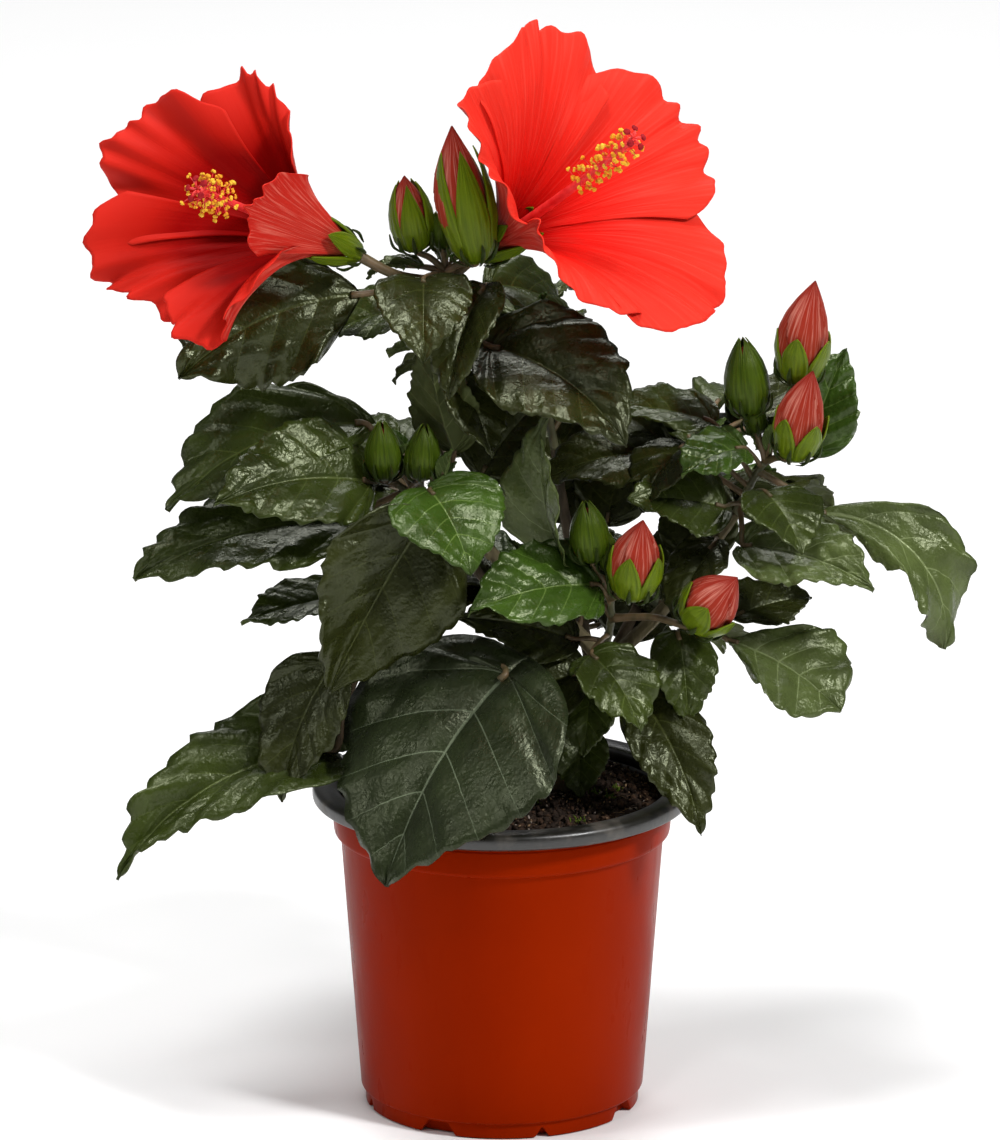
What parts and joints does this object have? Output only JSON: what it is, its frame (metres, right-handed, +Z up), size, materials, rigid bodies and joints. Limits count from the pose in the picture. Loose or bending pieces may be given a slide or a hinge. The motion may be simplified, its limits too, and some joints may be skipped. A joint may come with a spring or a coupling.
{
  "type": "potted hibiscus shrub",
  "caption": "Leafy flowering shrub with open funnel blooms and closed buds on a short woody trunk, in a round tapered pot with a rolled rim.",
  "frame": {"origin": "middle of the pot's flat underside", "axes": "+Z up along the pot's axis; -Y towards the front, where both blooms can be seen into; +X to the right of that view"},
  "size_m": [0.2986, 0.2055, 0.3795],
  "materials": {
    "pot_plastic": "semi-gloss orange-red moulded plastic",
    "rim_plastic": "satin black rolled lip with pale scuffs",
    "potting_mix": "dark damp peat and bark crumbs with light specks and bits of moss",
    "bark": "grey-brown bark with shallow furrows, greener on young wood",
    "foliage": "glossy dark green leaves with pale veins and toothed edges, paler matt undersides",
    "bloom": "soft scarlet petals with radial veins and a deep red throat"
  },
  "bodies": {
    "root": {"pot": "pot_plastic", "pot_rim": "rim_plastic", "potting_mix": "potting_mix", "trunk": "bark", "bough_leader": "bark", "bough_right": "bark", "bough_centre": "bark", "bough_low_right": "bark", "bough_low_left": "bark", "bough_back_left": "bark", "bough_back_right": "bark", "bough_back_top": "bark", "bough_low_back": "bark", "bough_front": "bark", "bough_left": "bark", "pruned_stub": "bark", "top_spray": "foliage", "left_spray": "foliage", "front_spray": "foliage", "low_left_spray": "foliage", "centre_spray": "foliage", "right_spray": "foliage", "low_right_spray": "foliage", "back_left_spray": "foliage", "back_top_spray": "foliage", "back_right_spray": "foliage", "low_back_spray": "foliage", "bloom_left": "bloom", "bloom_right": "bloom"}
  },
  "joints": []
}
